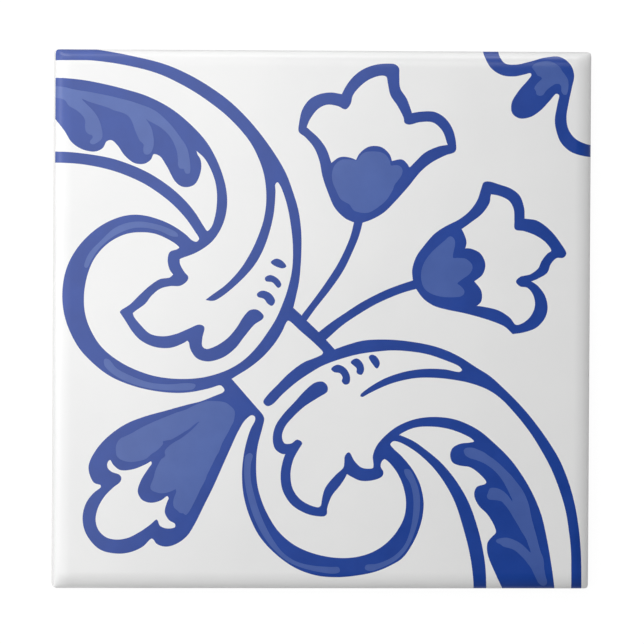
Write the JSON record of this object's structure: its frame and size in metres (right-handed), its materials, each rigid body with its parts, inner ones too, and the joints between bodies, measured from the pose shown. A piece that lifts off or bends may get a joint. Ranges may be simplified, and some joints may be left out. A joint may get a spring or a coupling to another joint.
{
  "type": "delft tile",
  "caption": "Square glazed ceramic wall tile with rolled cushion edges, blue scroll and tulip decoration on white, and shallow keying pockets in its back.",
  "frame": {"origin": "middle of the square footprint, on the plane of the back's ribs, on which the tile lies", "axes": "+Z out of the glazed face, +Y towards the top of the decoration, +X to the decoration's right"},
  "size_m": [0.13, 0.13, 0.008],
  "materials": {
    "glazed_ceramic": "glossy tin-white glaze with cobalt blue decoration, unglazed pale biscuit on the back and the lower side walls"
  },
  "bodies": {
    "root": {"tile": "glazed_ceramic"}
  },
  "joints": []
}
